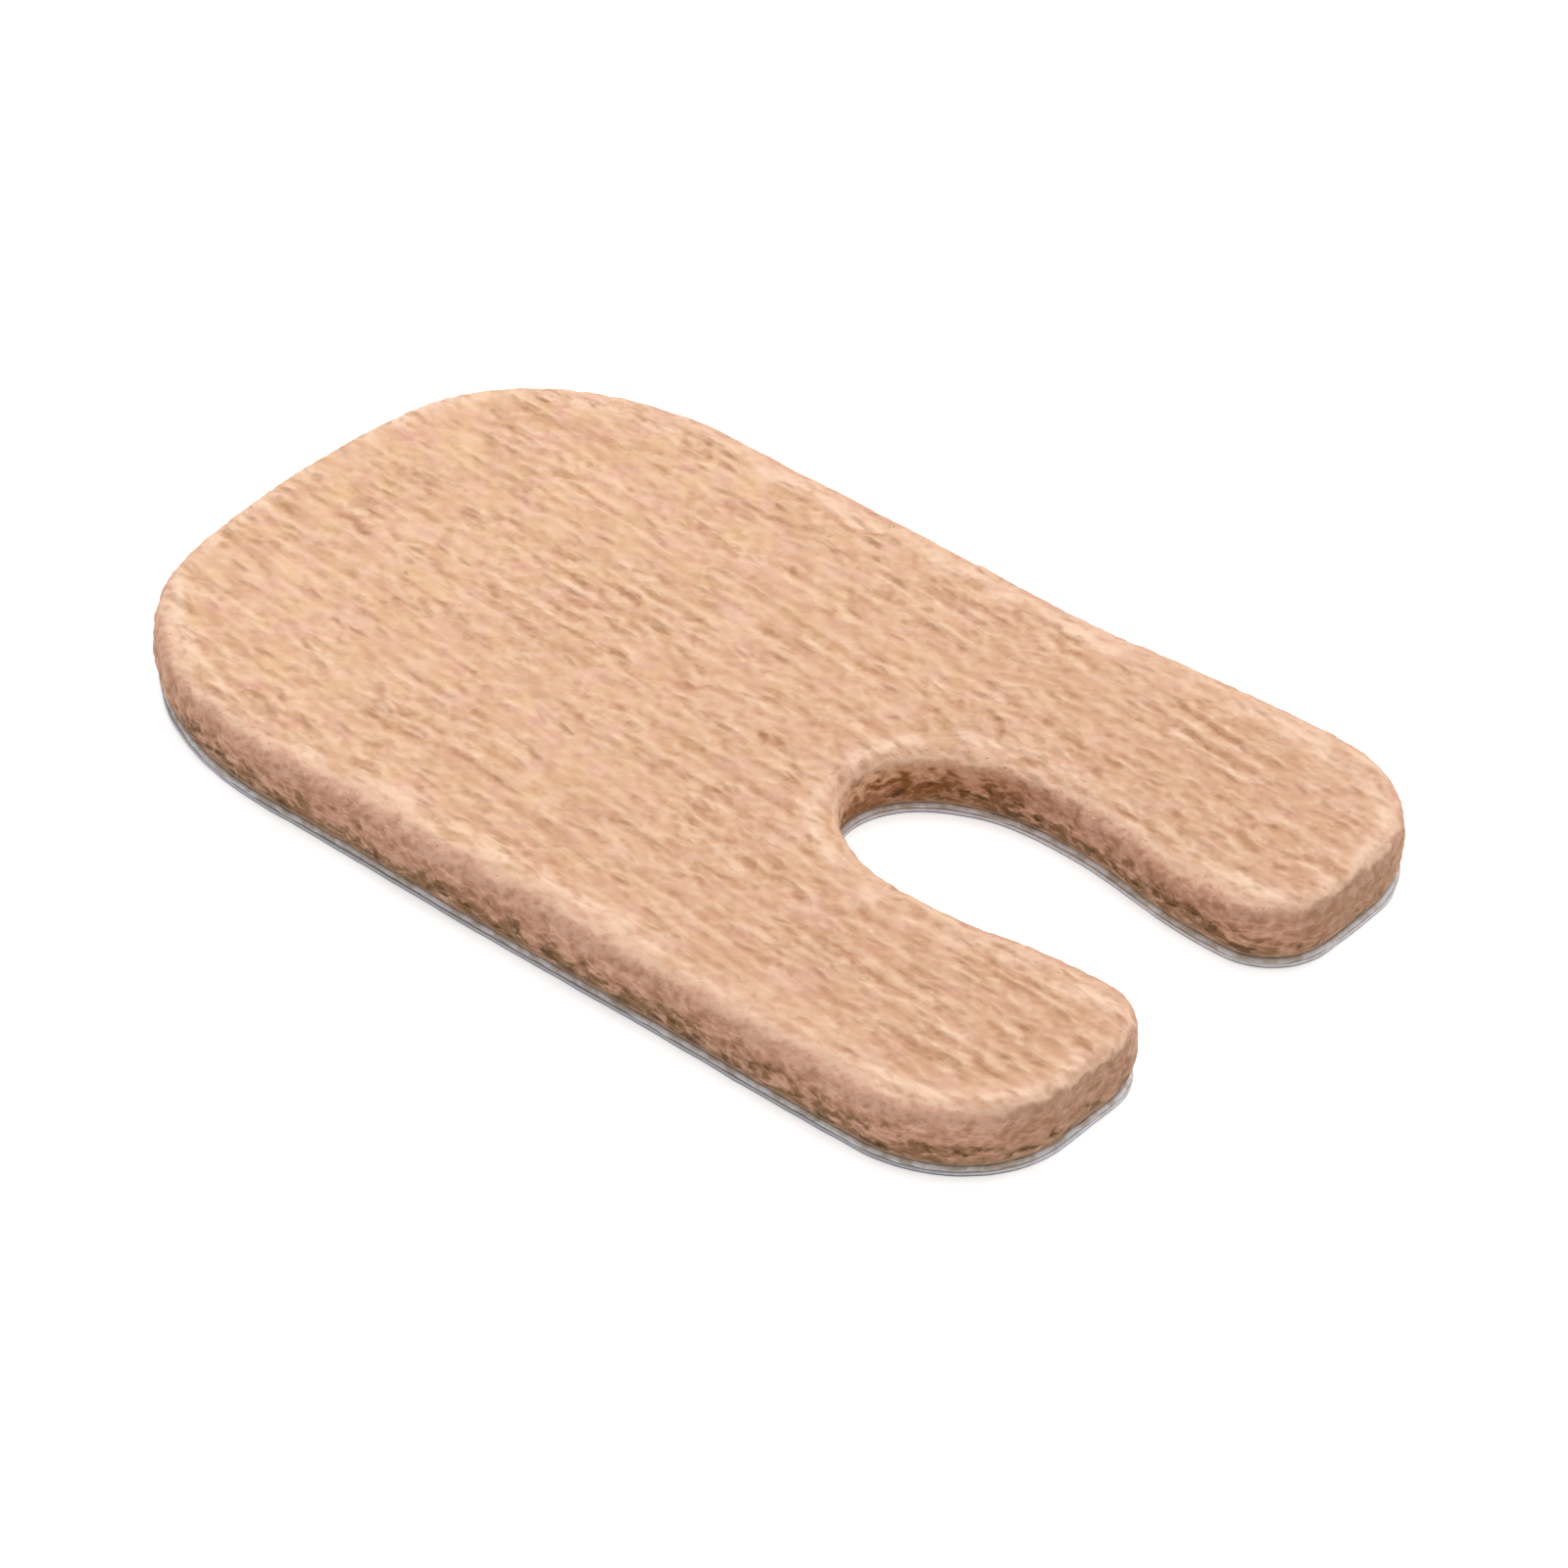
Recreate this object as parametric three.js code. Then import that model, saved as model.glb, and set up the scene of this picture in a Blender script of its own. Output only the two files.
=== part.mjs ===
// Callus pad: one U-shaped pad die-cut from thick wool felt, lying flat.
// A film of adhesive covers its underside, and a paper release liner covers the adhesive.
// Millimetres, +X from the rounded head to the prong ends, +Y to the pad's left, +Z up.
// The origin is the middle of the pad's box, on the surface that the liner lies on.
import * as THREE from "three";
import { mergeVertices } from "three/addons/utils/BufferGeometryUtils.js";

// Outline of the felt at its widest
const padLength = 64;
const padWidth = 37.9;
const headWidth = 36.9;
const headBow = 0.7;
const headCornerLength = 14.9;
const headCornerWidth = 9.8;
const prongCornerLength = 7.8;
const prongCornerWidth = 7.0;
const prongInnerRadius = 4.1;

// Slot between the prongs
const slotDepth = 24.4;
const slotWidth = 10.5;
const slotEndLength = 7.95;
const mouthWidth = 8.2;
const slotOffset = 0.15;

// Layers, from the surface up
const linerThickness = 0.25;
const adhesiveThickness = 0.2;
const feltThickness = 3.45;
const layerGap = 0.02;

// Wall of the cut felt, and how far the layers under it stand back from its widest outline.
// The lip is a quarter ellipse, wide on the long sides, where the combed fibres lie along the cut,
// and narrow on the head and the prong ends, where the cut crosses them.
const lipDrop = 0.9;
const lipSideWidth = 1.5;
const lipEndWidth = 0.8;
const wallUndercut = 0.45;
const rimFade = 2.2;
const linerSetback = 0.2;
const adhesiveSetback = 0.5;

// Hand-fed die cut: the two long sides differ a little.
// waist is a share of half the head width, reach a share of the pad's length.
const sides = [
  { side: 1, waist: 0.988, reach: 1 },
  { side: -1, waist: 1.017, reach: 0.992 },
];

// Felt wall from its base to the foot of the rounded lip.
// rise is a share of the height up to the lip, tuck a share of the undercut.
const wallSections = [
  { rise: 0, tuck: 1 },
  { rise: 0.14, tuck: 0.62 },
  { rise: 0.34, tuck: 0.18 },
  { rise: 0.58, tuck: 0 },
  { rise: 1, tuck: 0.1 },
];

// Soft swells and dips of the rim, where the felt was pressed by hand or by the die.
// around and spread are shares of the outline, counted from the head along the far side.
// lift is a share of the felt's thickness.
const rimSwells = [
  { around: 0.14, spread: 0.02, lift: -0.03 },
  { around: 0.32, spread: 0.02, lift: 0.03 },
  { around: 0.41, spread: 0.025, lift: -0.1 },
  { around: 0.48, spread: 0.02, lift: -0.06 },
  { around: 0.66, spread: 0.025, lift: 0.07 },
  { around: 0.73, spread: 0.02, lift: 0.04 },
  { around: 0.795, spread: 0.025, lift: 0.09 },
  { around: 0.88, spread: 0.03, lift: -0.04 },
];

const outlineSteps = 176;
const lipSteps = 4;

// A quarter of an ellipse drawn as one cubic curve has its handles at this share of each radius.
const quarterHandle = 0.5523;

// Half of the outline, from the middle of the head round one prong to the middle of the slot's end.
// y is counted outwards from the pad's centre line; the slot's centre line is at slotShift.
function halfOutline({ side, waist, reach }) {
  const shoulder = headWidth / 2;
  const waistHalf = shoulder * waist;
  const prongHalf = padWidth / 2;
  const slotShift = slotOffset * side;
  const headFlat = shoulder - headCornerWidth;
  const cornerEnd = headBow + headCornerLength;
  const prongEnd = padLength * reach;
  const cornerStart = prongEnd - prongCornerLength;
  const waistAt = (cornerEnd + cornerStart) / 2;
  const sidePull = (waistAt - cornerEnd) / 2;
  const innerSide = slotShift + mouthWidth / 2;
  const slotSide = slotShift + slotWidth / 2;
  const innerFoot = innerSide + prongInnerRadius;
  const innerHead = prongEnd - prongInnerRadius;
  const slotCurveStart = padLength - slotDepth + slotEndLength;
  const slotPull = (innerHead - slotCurveStart) / 2;
  const k = quarterHandle;

  // The head's bow runs on into the corner: both share one direction where they meet.
  const meet = new THREE.Vector2(headBow * 0.55, headFlat * 0.22).normalize();
  const path = new THREE.Path();
  path.moveTo(0, 0);
  path.bezierCurveTo(0, headFlat * 0.5, headBow * 0.45, headFlat * 0.78, headBow, headFlat);
  path.bezierCurveTo(
    headBow + meet.x * k * headCornerWidth, headFlat + meet.y * k * headCornerWidth,
    cornerEnd - k * headCornerLength, shoulder,
    cornerEnd, shoulder,
  );
  path.bezierCurveTo(cornerEnd + sidePull, shoulder, waistAt - sidePull, waistHalf, waistAt, waistHalf);
  path.bezierCurveTo(
    waistAt + sidePull, waistHalf,
    cornerStart - sidePull, prongHalf,
    cornerStart, prongHalf,
  );
  path.bezierCurveTo(
    cornerStart + k * prongCornerLength, prongHalf,
    prongEnd, prongHalf - prongCornerWidth + k * prongCornerWidth,
    prongEnd, prongHalf - prongCornerWidth,
  );
  path.lineTo(prongEnd, innerFoot);
  path.bezierCurveTo(
    prongEnd, innerFoot - k * prongInnerRadius,
    innerHead + k * prongInnerRadius, innerSide,
    innerHead, innerSide,
  );
  path.bezierCurveTo(
    innerHead - slotPull, innerSide,
    slotCurveStart + slotPull, slotSide,
    slotCurveStart, slotSide,
  );
  path.bezierCurveTo(
    slotCurveStart - k * slotEndLength, slotSide,
    padLength - slotDepth, slotShift + k * slotWidth / 2,
    padLength - slotDepth, slotShift,
  );
  const spaced = path.getSpacedPoints(outlineSteps / 2);
  return spaced.map((point) => new THREE.Vector2(point.x - padLength / 2, point.y * side));
}

// The whole outline, anticlockwise from the middle of the slot's end, with the unit normal that
// points out of the felt and the share of the way round from the head at each point.
function padOutline() {
  const [left, right] = sides.map(halfOutline);
  const steps = outlineSteps / 2;
  const points = [...left.slice().reverse().slice(0, -1), ...right.slice(0, -1)];
  const count = points.length;
  return points.map((point, i) => {
    const along = points[(i + 1) % count].clone().sub(points[(i + count - 1) % count]).normalize();
    const around = (((steps - i) / count) + 1) % 1;
    return { point, normal: new THREE.Vector2(along.y, -along.x), around };
  });
}

const outline = padOutline();

// Height by which the rim stands over or under the even felt, as a share of the felt's thickness.
// Each swell is a bell curve along the outline.
function rimLift(around) {
  return rimSwells.reduce((sum, swell) => {
    const away = Math.abs(around - swell.around);
    const near = Math.min(away, 1 - away) / swell.spread;
    return sum + swell.lift * Math.exp(-near * near);
  }, 0);
}

// A closed layer whose wall passes through the given sections, each one a full turn of the outline:
// setback(normal) is how far the turn stands in from the widest outline, height(around) its height.
function layeredSolid(sections) {
  const count = outline.length;
  const positions = [];
  for (const { setback, height } of sections) {
    for (const { point, normal, around } of outline) {
      const inset = setback(normal);
      positions.push(point.x - normal.x * inset, point.y - normal.y * inset, height(around));
    }
  }
  const faces = [];
  for (let ring = 0; ring + 1 < sections.length; ring += 1) {
    for (let i = 0; i < count; i += 1) {
      const next = (i + 1) % count;
      const low = ring * count;
      const high = low + count;
      faces.push(low + i, low + next, high + next, low + i, high + next, high + i);
    }
  }
  const top = (sections.length - 1) * count;
  const cap = (start) => {
    const turn = Array.from({ length: count }, (_, i) => {
      const at = (start + i) * 3;
      return new THREE.Vector2(positions[at], positions[at + 1]);
    });
    return THREE.ShapeUtils.triangulateShape(turn, []);
  };
  for (const [a, b, c] of cap(top)) {
    faces.push(top + a, top + b, top + c);
  }
  for (const [a, b, c] of cap(0)) {
    faces.push(a, c, b);
  }
  const geometry = new THREE.BufferGeometry();
  geometry.setAttribute("position", new THREE.Float32BufferAttribute(positions, 3));
  geometry.setIndex(faces);
  return mergeVertices(geometry);
}

function flatLayer(bottom, thickness, setback) {
  return layeredSolid([
    { setback: () => setback, height: () => bottom },
    { setback: () => setback, height: () => bottom + thickness },
  ]);
}

// The felt: wall sections, then the rounded lip, then a turn where the rim's swells have died away.
function feltSolid(bottom) {
  const lipFoot = feltThickness - lipDrop;
  const lifted = (rise) => (around) => bottom + rise * (1 + rimLift(around));
  const sections = wallSections.map(({ rise, tuck }) => ({
    setback: () => tuck * wallUndercut,
    height: rise === 0 ? () => bottom : lifted(rise * lipFoot),
  }));
  const lipTuck = wallSections.at(-1).tuck * wallUndercut;
  const lipWidth = (normal) => lipEndWidth + (lipSideWidth - lipEndWidth) * normal.y ** 2;
  for (let step = 1; step <= lipSteps; step += 1) {
    const angle = (step / lipSteps) * Math.PI / 2;
    sections.push({
      setback: (normal) => lipTuck + lipWidth(normal) * (1 - Math.cos(angle)),
      height: lifted(lipFoot + lipDrop * Math.sin(angle)),
    });
  }
  sections.push({
    setback: (normal) => lipTuck + lipWidth(normal) + rimFade,
    height: () => bottom + feltThickness,
  });
  return layeredSolid(sections);
}

function piece(name, geometry, color, roughness) {
  const mesh = new THREE.Mesh(geometry, new THREE.MeshStandardMaterial({ color, roughness, metalness: 0 }));
  mesh.name = name;
  return mesh;
}

const adhesiveBottom = linerThickness + layerGap;
const feltBottom = adhesiveBottom + adhesiveThickness + layerGap;

const pad = new THREE.Group();
pad.add(piece("release_liner", flatLayer(0, linerThickness, linerSetback), 0xd3d3d8, 0.55));
pad.add(piece("adhesive_film", flatLayer(adhesiveBottom, adhesiveThickness, adhesiveSetback), 0xd1c6bc, 0.4));
pad.add(piece("felt_pad", feltSolid(feltBottom), 0xe1b79b, 0.95));

export default pad;
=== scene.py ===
import bpy
import numpy as np
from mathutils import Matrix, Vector


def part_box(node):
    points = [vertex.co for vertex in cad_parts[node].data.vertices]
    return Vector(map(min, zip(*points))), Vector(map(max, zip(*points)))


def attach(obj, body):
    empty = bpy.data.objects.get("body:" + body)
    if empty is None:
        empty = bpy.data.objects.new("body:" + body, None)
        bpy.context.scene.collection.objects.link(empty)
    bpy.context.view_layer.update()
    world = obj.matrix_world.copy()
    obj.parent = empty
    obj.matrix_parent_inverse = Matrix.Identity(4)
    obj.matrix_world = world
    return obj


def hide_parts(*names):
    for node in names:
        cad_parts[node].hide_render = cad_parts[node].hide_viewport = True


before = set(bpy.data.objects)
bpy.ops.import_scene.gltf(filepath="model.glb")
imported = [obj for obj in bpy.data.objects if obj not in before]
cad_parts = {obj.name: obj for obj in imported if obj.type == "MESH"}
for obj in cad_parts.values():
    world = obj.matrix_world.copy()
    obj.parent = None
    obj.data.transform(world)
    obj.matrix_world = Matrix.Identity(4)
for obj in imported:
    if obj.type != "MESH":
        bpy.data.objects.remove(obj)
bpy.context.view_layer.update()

# Felt pad
# One U of thick wool and rayon felt, punched from the sheet with a die. The top is combed along the
# pad's length, the die rounds the rim over, and the cut wall shows the matted inside of the felt.
MM = 0.001
felt_low, felt_high = (np.array(corner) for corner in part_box("felt_pad"))
pad_length = felt_high[0] - felt_low[0]
pad_width = felt_high[1] - felt_low[1]
felt_base = felt_low[2]
felt_thickness = 3.45 * MM
head_width = 36.9 * MM
head_bow = 0.7 * MM
head_corner = (14.9 * MM, 9.8 * MM)
prong_corner = (7.8 * MM, 7.0 * MM)
prong_inner_radius = 4.1 * MM
slot_depth = 24.4 * MM
slot_width = 10.5 * MM
slot_end_length = 7.95 * MM
mouth_width = 8.2 * MM
slot_offset = 0.15 * MM
lip_side_width = 1.5 * MM
lip_end_width = 0.8 * MM
lip_drop = 0.9 * MM
lip_tuck = 0.045 * MM
wall_undercut = 0.45 * MM
undercut_share = 0.58
rim_fade = 2.2 * MM
lip_foot = felt_thickness - lip_drop
even_foot = 0.5 * MM
# where the painted highlight along the rim lies in from the top's edge, and how wide it is
rim_highlight_in = 0.35 * MM
rim_highlight_width = 0.5 * MM
shade_reach = 9 * MM
clump_height = 0.04 * MM
tangle_height = 0.005 * MM
groove_depth = 0.035 * MM
roll_height = 0.03 * MM
mat_height = 0.035 * MM
pit_depth = 0.06 * MM
die_wander = 0.045 * MM

# side, waist as a share of half the head width, reach as a share of the length
SIDES = ((1, 0.988, 1.0), (-1, 1.017, 0.992))

# place round the outline and spread as shares of it, lift as a share of the felt's thickness
RIM_SWELLS = (
    (0.14, 0.02, -0.03),
    (0.32, 0.02, 0.03),
    (0.41, 0.025, -0.10),
    (0.48, 0.02, -0.06),
    (0.66, 0.025, 0.07),
    (0.73, 0.02, 0.04),
    (0.795, 0.025, 0.09),
    (0.88, 0.03, -0.04),
)

CELLS_MIDDLE = 117
CELLS_SLOT = 83
CELLS_LENGTH = CELLS_MIDDLE + CELLS_SLOT
CELLS_ACROSS = 120
LIP_ROWS = 9
WALL_ROWS = 14
CURVE_STEPS = 160

# handles of a cubic curve that draws a quarter of an ellipse, as a share of each radius
QUARTER_HANDLE = 0.5523


def curve(*points):
    """Cubic curve from the first point to the last with two handles between: the four points
    weighted by (1-t)^3, 3t(1-t)^2, 3t^2(1-t) and t^3."""
    t = np.linspace(0, 1, CURVE_STEPS + 1)[:, None]
    a, b, c, d = (np.array(point, float) for point in points)
    return (1 - t) ** 3 * a + 3 * t * (1 - t) ** 2 * b + 3 * t * t * (1 - t) * c + t ** 3 * d


def half_outline(side, waist, reach):
    """Half of the felt's widest outline in four stretches: head, outer side, prong front, slot.
    Each stretch is rows of x, y, outward normal x, outward normal y. Corners are quarter ellipses
    drawn as cubics, and a stretch ends halfway round a corner."""
    k = QUARTER_HANDLE
    shoulder, prong = head_width / 2, pad_width / 2
    (corner_x, corner_y), (front_x, front_y) = head_corner, prong_corner
    flat, corner_end, end = shoulder - corner_y, head_bow + corner_x, pad_length * reach
    corner_start = end - front_x
    middle = (corner_end + corner_start) / 2
    pull = (middle - corner_end) / 2
    waist_y = shoulder * waist
    shift = slot_offset * side
    inner, wide = shift + mouth_width / 2, shift + slot_width / 2
    foot, neck = inner + prong_inner_radius, end - prong_inner_radius
    turn, closed = pad_length - slot_depth + slot_end_length, pad_length - slot_depth
    slot_pull = (neck - turn) / 2
    meet = np.array([head_bow * 0.55, flat * 0.22])
    meet *= k * corner_y / np.hypot(*meet)
    stretches = [
        curve((0, 0), (0, flat * 0.5), (head_bow * 0.45, flat * 0.78), (head_bow, flat)),
        curve((head_bow, flat), (head_bow + meet[0], flat + meet[1]),
              (corner_end - k * corner_x, shoulder), (corner_end, shoulder)),
        curve((corner_end, shoulder), (corner_end + pull, shoulder),
              (middle - pull, waist_y), (middle, waist_y)),
        curve((middle, waist_y), (middle + pull, waist_y),
              (corner_start - pull, prong), (corner_start, prong)),
        curve((corner_start, prong), (corner_start + k * front_x, prong),
              (end, prong - front_y + k * front_y), (end, prong - front_y)),
        np.linspace((end, prong - front_y), (end, foot), CURVE_STEPS + 1),
        curve((end, foot), (end, foot - k * prong_inner_radius),
              (neck + k * prong_inner_radius, inner), (neck, inner)),
        curve((neck, inner), (neck - slot_pull, inner), (turn + slot_pull, wide), (turn, wide)),
        curve((turn, wide), (turn - k * slot_end_length, wide),
              (closed, shift + k * slot_width / 2), (closed, shift)),
    ]
    line = np.vstack([stretches[0], *[stretch[1:] for stretch in stretches[1:]]])
    run = np.gradient(line, axis=0)
    run /= np.hypot(*run.T)[:, None]
    whole = np.c_[line, -run[:, 1], run[:, 0]]
    whole[0, 2:], whole[-1, 2:] = (-1, 0), (1, 0)
    whole[:, 0] -= pad_length / 2
    whole[:, [1, 3]] *= side
    cuts = [int(CURVE_STEPS * place) for place in (0, 1.5, 4.5, 6.5, 9)]
    return [whole[a:b + 1] for a, b in zip(cuts, cuts[1:])]


def spaced(stretch, cells, split=1):
    """The stretch as cells * split + 1 rows, evenly spaced along its length. A last column is 1 on
    each row that the top's cells meet, and 0 on the rows that split the wall's cells."""
    run = np.r_[0, np.cumsum(np.hypot(*np.diff(stretch[:, :2], axis=0).T))]
    at = np.linspace(0, run[-1], cells * split + 1)
    rows = np.stack([np.interp(at, run, column) for column in stretch.T], 1)
    rows[:, 2:] /= np.hypot(*rows[:, 2:].T)[:, None]
    return np.c_[rows, np.arange(len(rows)) % split == 0]


def soft_noise(seed, size, blobs):
    """Repeating height map of unit deviation: white noise through filters in frequency space.
    Each row of blobs is length, thickness, turn in degrees, weight, and 1 where ridges and grooves
    take turns side by side or 0 for single blobs."""
    shape = tuple(int(round(extent / map_step)) for extent in size)
    white = np.fft.rfft2(np.random.default_rng(seed).standard_normal(shape))
    fx = np.fft.fftfreq(shape[0], map_step)[:, None]
    fy = np.fft.rfftfreq(shape[1], map_step)[None, :]
    total = np.zeros(shape)
    for number, (length, thickness, turn, weight, rippled) in enumerate(blobs):
        c, s = np.cos(np.radians(turn)), np.sin(np.radians(turn))
        along, across = fx * c + fy * s, fy * c - fx * s
        keep = np.exp(-((along * length) ** 2 + (across * thickness) ** 2) * 2)
        keep *= (across * thickness) ** (2 * rippled)
        layer = np.fft.irfft2(white * keep * np.exp(2j * np.pi * number * fx * length * 3), shape)
        total += weight * (layer - layer.mean()) / layer.std()
    return total / total.std()


def read_map(noise, x, y):
    """Value of a repeating map at x, y: the four nearest cells weighted by how near they are."""
    a, b = x / map_step, y / map_step
    i, j = np.floor(a).astype(int), np.floor(b).astype(int)
    s, t = a - i, b - j
    n, m = noise.shape
    low = noise[i % n, j % m] * (1 - s) + noise[(i + 1) % n, j % m] * s
    high = noise[i % n, (j + 1) % m] * (1 - s) + noise[(i + 1) % n, (j + 1) % m] * s
    return low * (1 - t) + high * t


map_step = 0.08 * MM
top_size = (72 * MM, 48 * MM)
wall_size = (240 * MM, 8 * MM)
combed = soft_noise(11, top_size, (
    (0.6 * MM, 0.74 * MM, -6, 0.9, 1), (3.6 * MM, 0.66 * MM, -6, 0.65, 1),
    (0.5 * MM, 0.46 * MM, -18, 0.5, 1), (0.5 * MM, 0.46 * MM, 8, 0.5, 1)))
tangled = soft_noise(12, top_size, ((0.5 * MM, 0.35 * MM, 35, 1.0, 0), (0.5 * MM, 0.30 * MM, -40, 0.9, 0)))
rolling = soft_noise(13, top_size, ((9 * MM, 6 * MM, 10, 1.0, 0), (4 * MM, 3 * MM, -20, 0.6, 0)))
matted = soft_noise(14, wall_size, (
    (0.75 * MM, 0.42 * MM, 0, 1.0, 0),
    (0.45 * MM, 0.32 * MM, 30, 0.8, 0), (0.45 * MM, 0.30 * MM, -35, 0.8, 0)))
uneven = soft_noise(17, top_size, ((2.4 * MM, 1.6 * MM, -10, 1.0, 0), (1.2 * MM, 0.9 * MM, -10, 0.5, 0)))
rim_wander = soft_noise(16, top_size, ((1.8 * MM, 1.8 * MM, 0, 1.0, 0), (0.8 * MM, 0.8 * MM, 0, 0.5, 0)))
wandering = soft_noise(15, wall_size, ((3.5 * MM, 3 * MM, 0, 1.0, 0), (1.2 * MM, 2 * MM, 0, 0.6, 0)))


def rim_lift(around):
    """Sum of the rim's swells, each a bell curve along the outline, as a share of the thickness."""
    lift = np.zeros_like(around)
    for place, spread, height in RIM_SWELLS:
        away = np.abs(around - place)
        lift += height * np.exp(-(np.minimum(away, 1 - away) / spread) ** 2)
    return lift


def on_top(noise, points):
    """Value of one of the top's maps at points, which start with their x and y."""
    return read_map(noise, points[..., 0] + pad_length, points[..., 1] + pad_width)


def combed_relief(points):
    """Height of the combed top over its mean plane, with the groove depth from 0 to 1: fibre clumps
    flattened on top, narrow grooves between them, a finer tangle, and slow rolls of the sheet. The
    comb pulled some areas up more than others."""
    clumps, tangle, roll, pulled = (on_top(noise, points) for noise in (combed, tangled, rolling, uneven))
    clumps = clumps * (0.9 + 0.3 * np.tanh(pulled))
    groove = np.clip(-(clumps + 0.3 * tangle) - 0.8, 0, 1.6) / 1.6
    fine = clump_height * np.tanh(clumps) + tangle_height * tangle - groove_depth * groove
    return fine + roll_height * roll, groove


def matted_relief(around, height):
    """How far the cut wall stands out of its mean surface, with its pit depth from 0 to 1: small
    round mats of fibre, pits between them, and a slow wander of the die's cut. The adhesive holds
    the foot even, and the die pressed the lip smoother."""
    mats = read_map(matted, around, height)
    pit = np.clip(-mats - 0.5, 0, 1.8) / 1.8
    even = 0.15 + 0.85 * np.clip(height / even_foot, 0, 1)
    slow = die_wander * read_map(wandering, around, height * 0)
    lip = 1 - 0.6 * np.clip(height / lip_foot - 1, 0, 0.3) / 0.3
    return (mat_height * np.tanh(mats) - pit_depth * pit + slow) * even * lip, pit


def patch(inner, outer, head, front):
    """Coons patch: straight rows from the inner to the outer side, plus the bulge of the head and of
    the front off their own straight rows, which dies away with a power of the distance from them."""
    u = np.linspace(0, 1, len(inner))[:, None, None]
    v = np.linspace(0, 1, len(head))[None, :, None]
    straight = (1 - v) * inner[:, None] + v * outer[:, None]
    return straight + (1 - u) ** 3 * (head - straight[0]) + u ** 6 * (front - straight[-1])


def mesh_piece(name, points, faces, marks=None):
    """A mesh object from points and several arrays of faces, one array for each count of corners.
    marks are named values, one for each point. Points that no face meets are dropped, small faces
    are smooth and wide base faces flat."""
    used, corners = np.unique(np.concatenate([group.ravel() for group in faces]), return_inverse=True)
    corners, points = corners.astype(np.int32), points[used]
    mesh = bpy.data.meshes.new(name)
    mesh.vertices.add(len(points))
    mesh.vertices.foreach_set("co", np.ascontiguousarray(points, np.float32).ravel())
    counts = np.concatenate([np.full(len(group), group.shape[1]) for group in faces])
    mesh.loops.add(len(corners))
    mesh.loops.foreach_set("vertex_index", corners)
    mesh.polygons.add(len(counts))
    mesh.polygons.foreach_set("loop_start", np.r_[0, np.cumsum(counts)[:-1]].astype(np.int32))
    mesh.polygons.foreach_set("use_smooth", counts < 6)
    for label, values in (marks or {}).items():
        carried = mesh.attributes.new(label, "FLOAT", "POINT")
        carried.data.foreach_set("value", values[used].astype(np.float32))
    mesh.update()
    mesh.validate()
    piece = bpy.data.objects.new(name, mesh)
    bpy.context.scene.collection.objects.link(piece)
    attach(piece, "root")
    return piece


def band(rows, count):
    """Quads between rows of points that each go once round, lower row to upper row."""
    at = np.arange(count)
    low = (np.arange(rows - 1) * count)[:, None]
    quads = np.stack([low + at, low + np.roll(at, -1), low + count + np.roll(at, -1), low + count + at], -1)
    return quads.reshape(-1, 4)


left, right = [
    dict(zip(("head", "outer", "front", "slot"), (
        spaced(head, CELLS_ACROSS), spaced(outer, CELLS_LENGTH, 2),
        spaced(front, CELLS_ACROSS), spaced(slot, CELLS_SLOT, 2))))
    for head, outer, front, slot in (half_outline(*row) for row in SIDES)
]
ring = np.vstack(
    [left[name][::-1][:-1] for name in ("slot", "front", "outer", "head")]
    + [right[name][:-1] for name in ("head", "outer", "front", "slot")]
)
ring_steps = np.hypot(*np.diff(np.vstack([ring, ring[:1]])[:, :2], axis=0).T)
ring_run = np.r_[0, np.cumsum(ring_steps)]
ring_length = ring_run[-1]
ring_run = ring_run[:-1]
head_place = ring_run[sum(len(left[name]) - 1 for name in left)]
ring_lift = rim_lift((head_place - ring_run) / ring_length % 1)
met = ring[:, 4] > 0.5
ring_highlight_in = rim_highlight_in * ring[:, 3] ** 2
slot_away = np.hypot(ring[:, 0] - (pad_length / 2 - slot_depth), ring[:, 1] - slot_offset)
slot_end_near = np.exp(-(slot_away / shade_reach) ** 2)
# how much painted shade the cut wall takes: some all round, more where it faces sideways, most at the
# slot's end
ring_painted_shade = 0.1 + 0.45 * ring[:, 3] ** 2
ring_painted_shade = ring_painted_shade + (1 - ring_painted_shade) * slot_end_near

# the top, one patch for each half, meeting on the line from the head to the slot's end


def lip_width(rows):
    """Width of the lip at outline rows: the end width, plus a share that grows with the square of
    how far the outline faces sideways, where the combed fibres lie along the cut. On the straight
    sides it wanders a little from place to place."""
    even = lip_end_width + (lip_side_width - lip_end_width) * rows[:, 3] ** 2
    wander = np.clip(on_top(rim_wander, rows), -1.5, 1.5)
    return even * (1 + 0.12 * wander * rows[:, 3] ** 8)


top_height = felt_base + felt_thickness
tops = []
for half in (left, right):
    edge = {name: (rows[:, :2] - rows[:, 2:4] * (lip_tuck + lip_width(rows))[:, None])[rows[:, 4] > 0.5]
            for name, rows in half.items()}
    middle = np.linspace(edge["head"][0], edge["slot"][-1], CELLS_MIDDLE + 1)
    inner = np.vstack([middle, edge["slot"][::-1][1:]])
    tops.append(patch(inner, edge["outer"], edge["head"], edge["front"][::-1]))
flat_top = np.stack(tops)
rim_edge = (ring[:, :2] - ring[:, 2:4] * (lip_tuck + lip_width(ring))[:, None])[met]


def near_rim(points):
    """Distance from each point to the nearest point of the top's edge, and that point's number. The
    points are taken in 60 lots, which keeps the tables of distances small."""
    away, number = [], []
    for part in np.array_split(points, 60):
        square = ((part[:, None] - rim_edge[None]) ** 2).sum(-1)
        nearest = square.argmin(1)
        away.append(np.sqrt(square[np.arange(len(part)), nearest]))
        number.append(nearest)
    return np.concatenate(away), np.concatenate(number)


away, nearest = (part.reshape(flat_top.shape[:3]) for part in near_rim(flat_top.reshape(-1, 2)))
lift = ring_lift[met][nearest]
relief, groove = combed_relief(flat_top)
fade = np.clip(1 - away / rim_fade, 0, 1) ** 1.5
top_points = np.concatenate([flat_top, (top_height + felt_thickness * lift * fade + relief)[..., None]], -1)

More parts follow.
